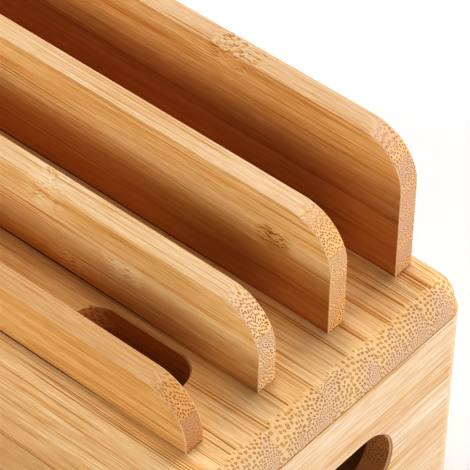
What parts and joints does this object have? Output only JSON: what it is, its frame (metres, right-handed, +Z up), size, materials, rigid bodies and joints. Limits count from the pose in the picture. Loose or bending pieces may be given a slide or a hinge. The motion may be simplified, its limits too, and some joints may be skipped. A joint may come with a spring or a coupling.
{
  "type": "charging station organizer",
  "caption": "Bamboo box with a lift-off lid whose stepped dividers hold devices upright over cable slots.",
  "frame": {"origin": "middle of the footprint, on the surface that the feet stand on", "axes": "+X to the right along the dividers, +Y to the back, where the tallest divider stands, +Z up"},
  "size_m": [0.304, 0.145, 0.1553],
  "materials": {
    "lid_bamboo": "clear matt varnish over pale laminated bamboo",
    "divider_bamboo": "clear satin varnish over laminated bamboo",
    "wall_bamboo": "clear matt varnish over pale laminated bamboo",
    "inner_bamboo": "plain sanded bamboo",
    "screw_steel": "zinc plated",
    "foot_rubber": "matt"
  },
  "bodies": {
    "box": {"left_end_wall": "wall_bamboo", "right_end_wall": "wall_bamboo", "front_wall": "wall_bamboo", "back_wall": "wall_bamboo", "bottom_panel": "inner_bamboo", "corner_dowels": "inner_bamboo", "front_left_foot": "foot_rubber", "front_right_foot": "foot_rubber", "back_left_foot": "foot_rubber", "back_right_foot": "foot_rubber"},
    "lid": {"lid_panel": "lid_bamboo", "back_divider": "divider_bamboo", "second_divider": "divider_bamboo", "third_divider": "divider_bamboo", "front_divider": "divider_bamboo", "divider_screws": "screw_steel", "left_batten": "inner_bamboo", "right_batten": "inner_bamboo", "batten_screws": "screw_steel"}
  },
  "joints": [
    {"name": "lid_lift", "type": "slide", "parent": "box", "child": "lid", "axis": [0, 0, 1], "range_m": [0, 0.06]}
  ]
}
